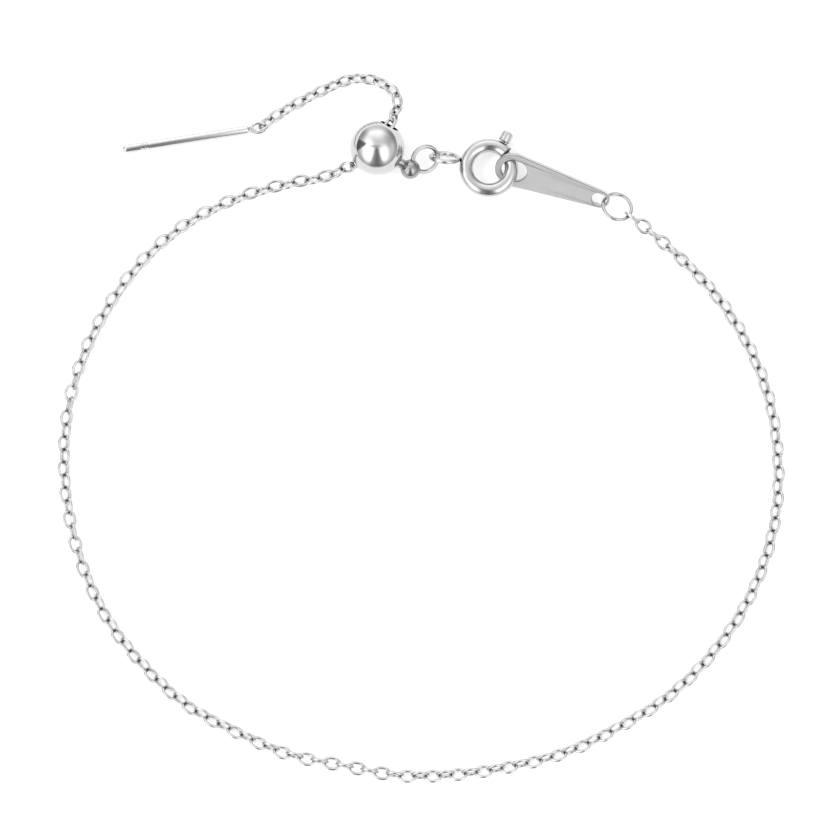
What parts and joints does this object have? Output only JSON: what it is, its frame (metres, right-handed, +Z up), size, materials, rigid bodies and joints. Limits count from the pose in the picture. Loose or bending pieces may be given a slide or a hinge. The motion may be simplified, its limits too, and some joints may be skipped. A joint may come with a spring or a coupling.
{
  "type": "adjustable chain bracelet",
  "caption": "Fine cable chain bracelet with a slider bead, a spring ring clasp, a flat end tab and a loose tail that ends in a threading needle.",
  "frame": {"origin": "on the ground plane, under the middle of the whole bracelet as it lies", "axes": "+X to the right of the picture, +Y to its top, +Z up from the surface that the bracelet lies on"},
  "size_m": [0.0729, 0.0711, 0.0055],
  "materials": {
    "chain_steel": "tumbled stainless steel, bright",
    "polished_steel": "polished stainless steel",
    "brushed_steel": "satin stainless steel"
  },
  "bodies": {
    "bracelet": {"main_chain": "chain_steel", "tail_chain": "chain_steel", "slider_bead": "polished_steel", "bead_ring": "polished_steel", "clasp_body": "polished_steel", "end_tab": "brushed_steel", "tab_ring": "polished_steel", "needle": "polished_steel"},
    "bolt": {"clasp_bolt": "polished_steel"}
  },
  "joints": [
    {"name": "bolt_turn", "type": "hinge", "parent": "bracelet", "child": "bolt", "pos_m": [0.0067, 0.02592, 0.00157], "axis": [0.0157, 0.1219, 0.9924], "range_deg": [0, 33], "stiffness_Nm_per_rad": 0.002, "springref_deg": -34.38}
  ]
}
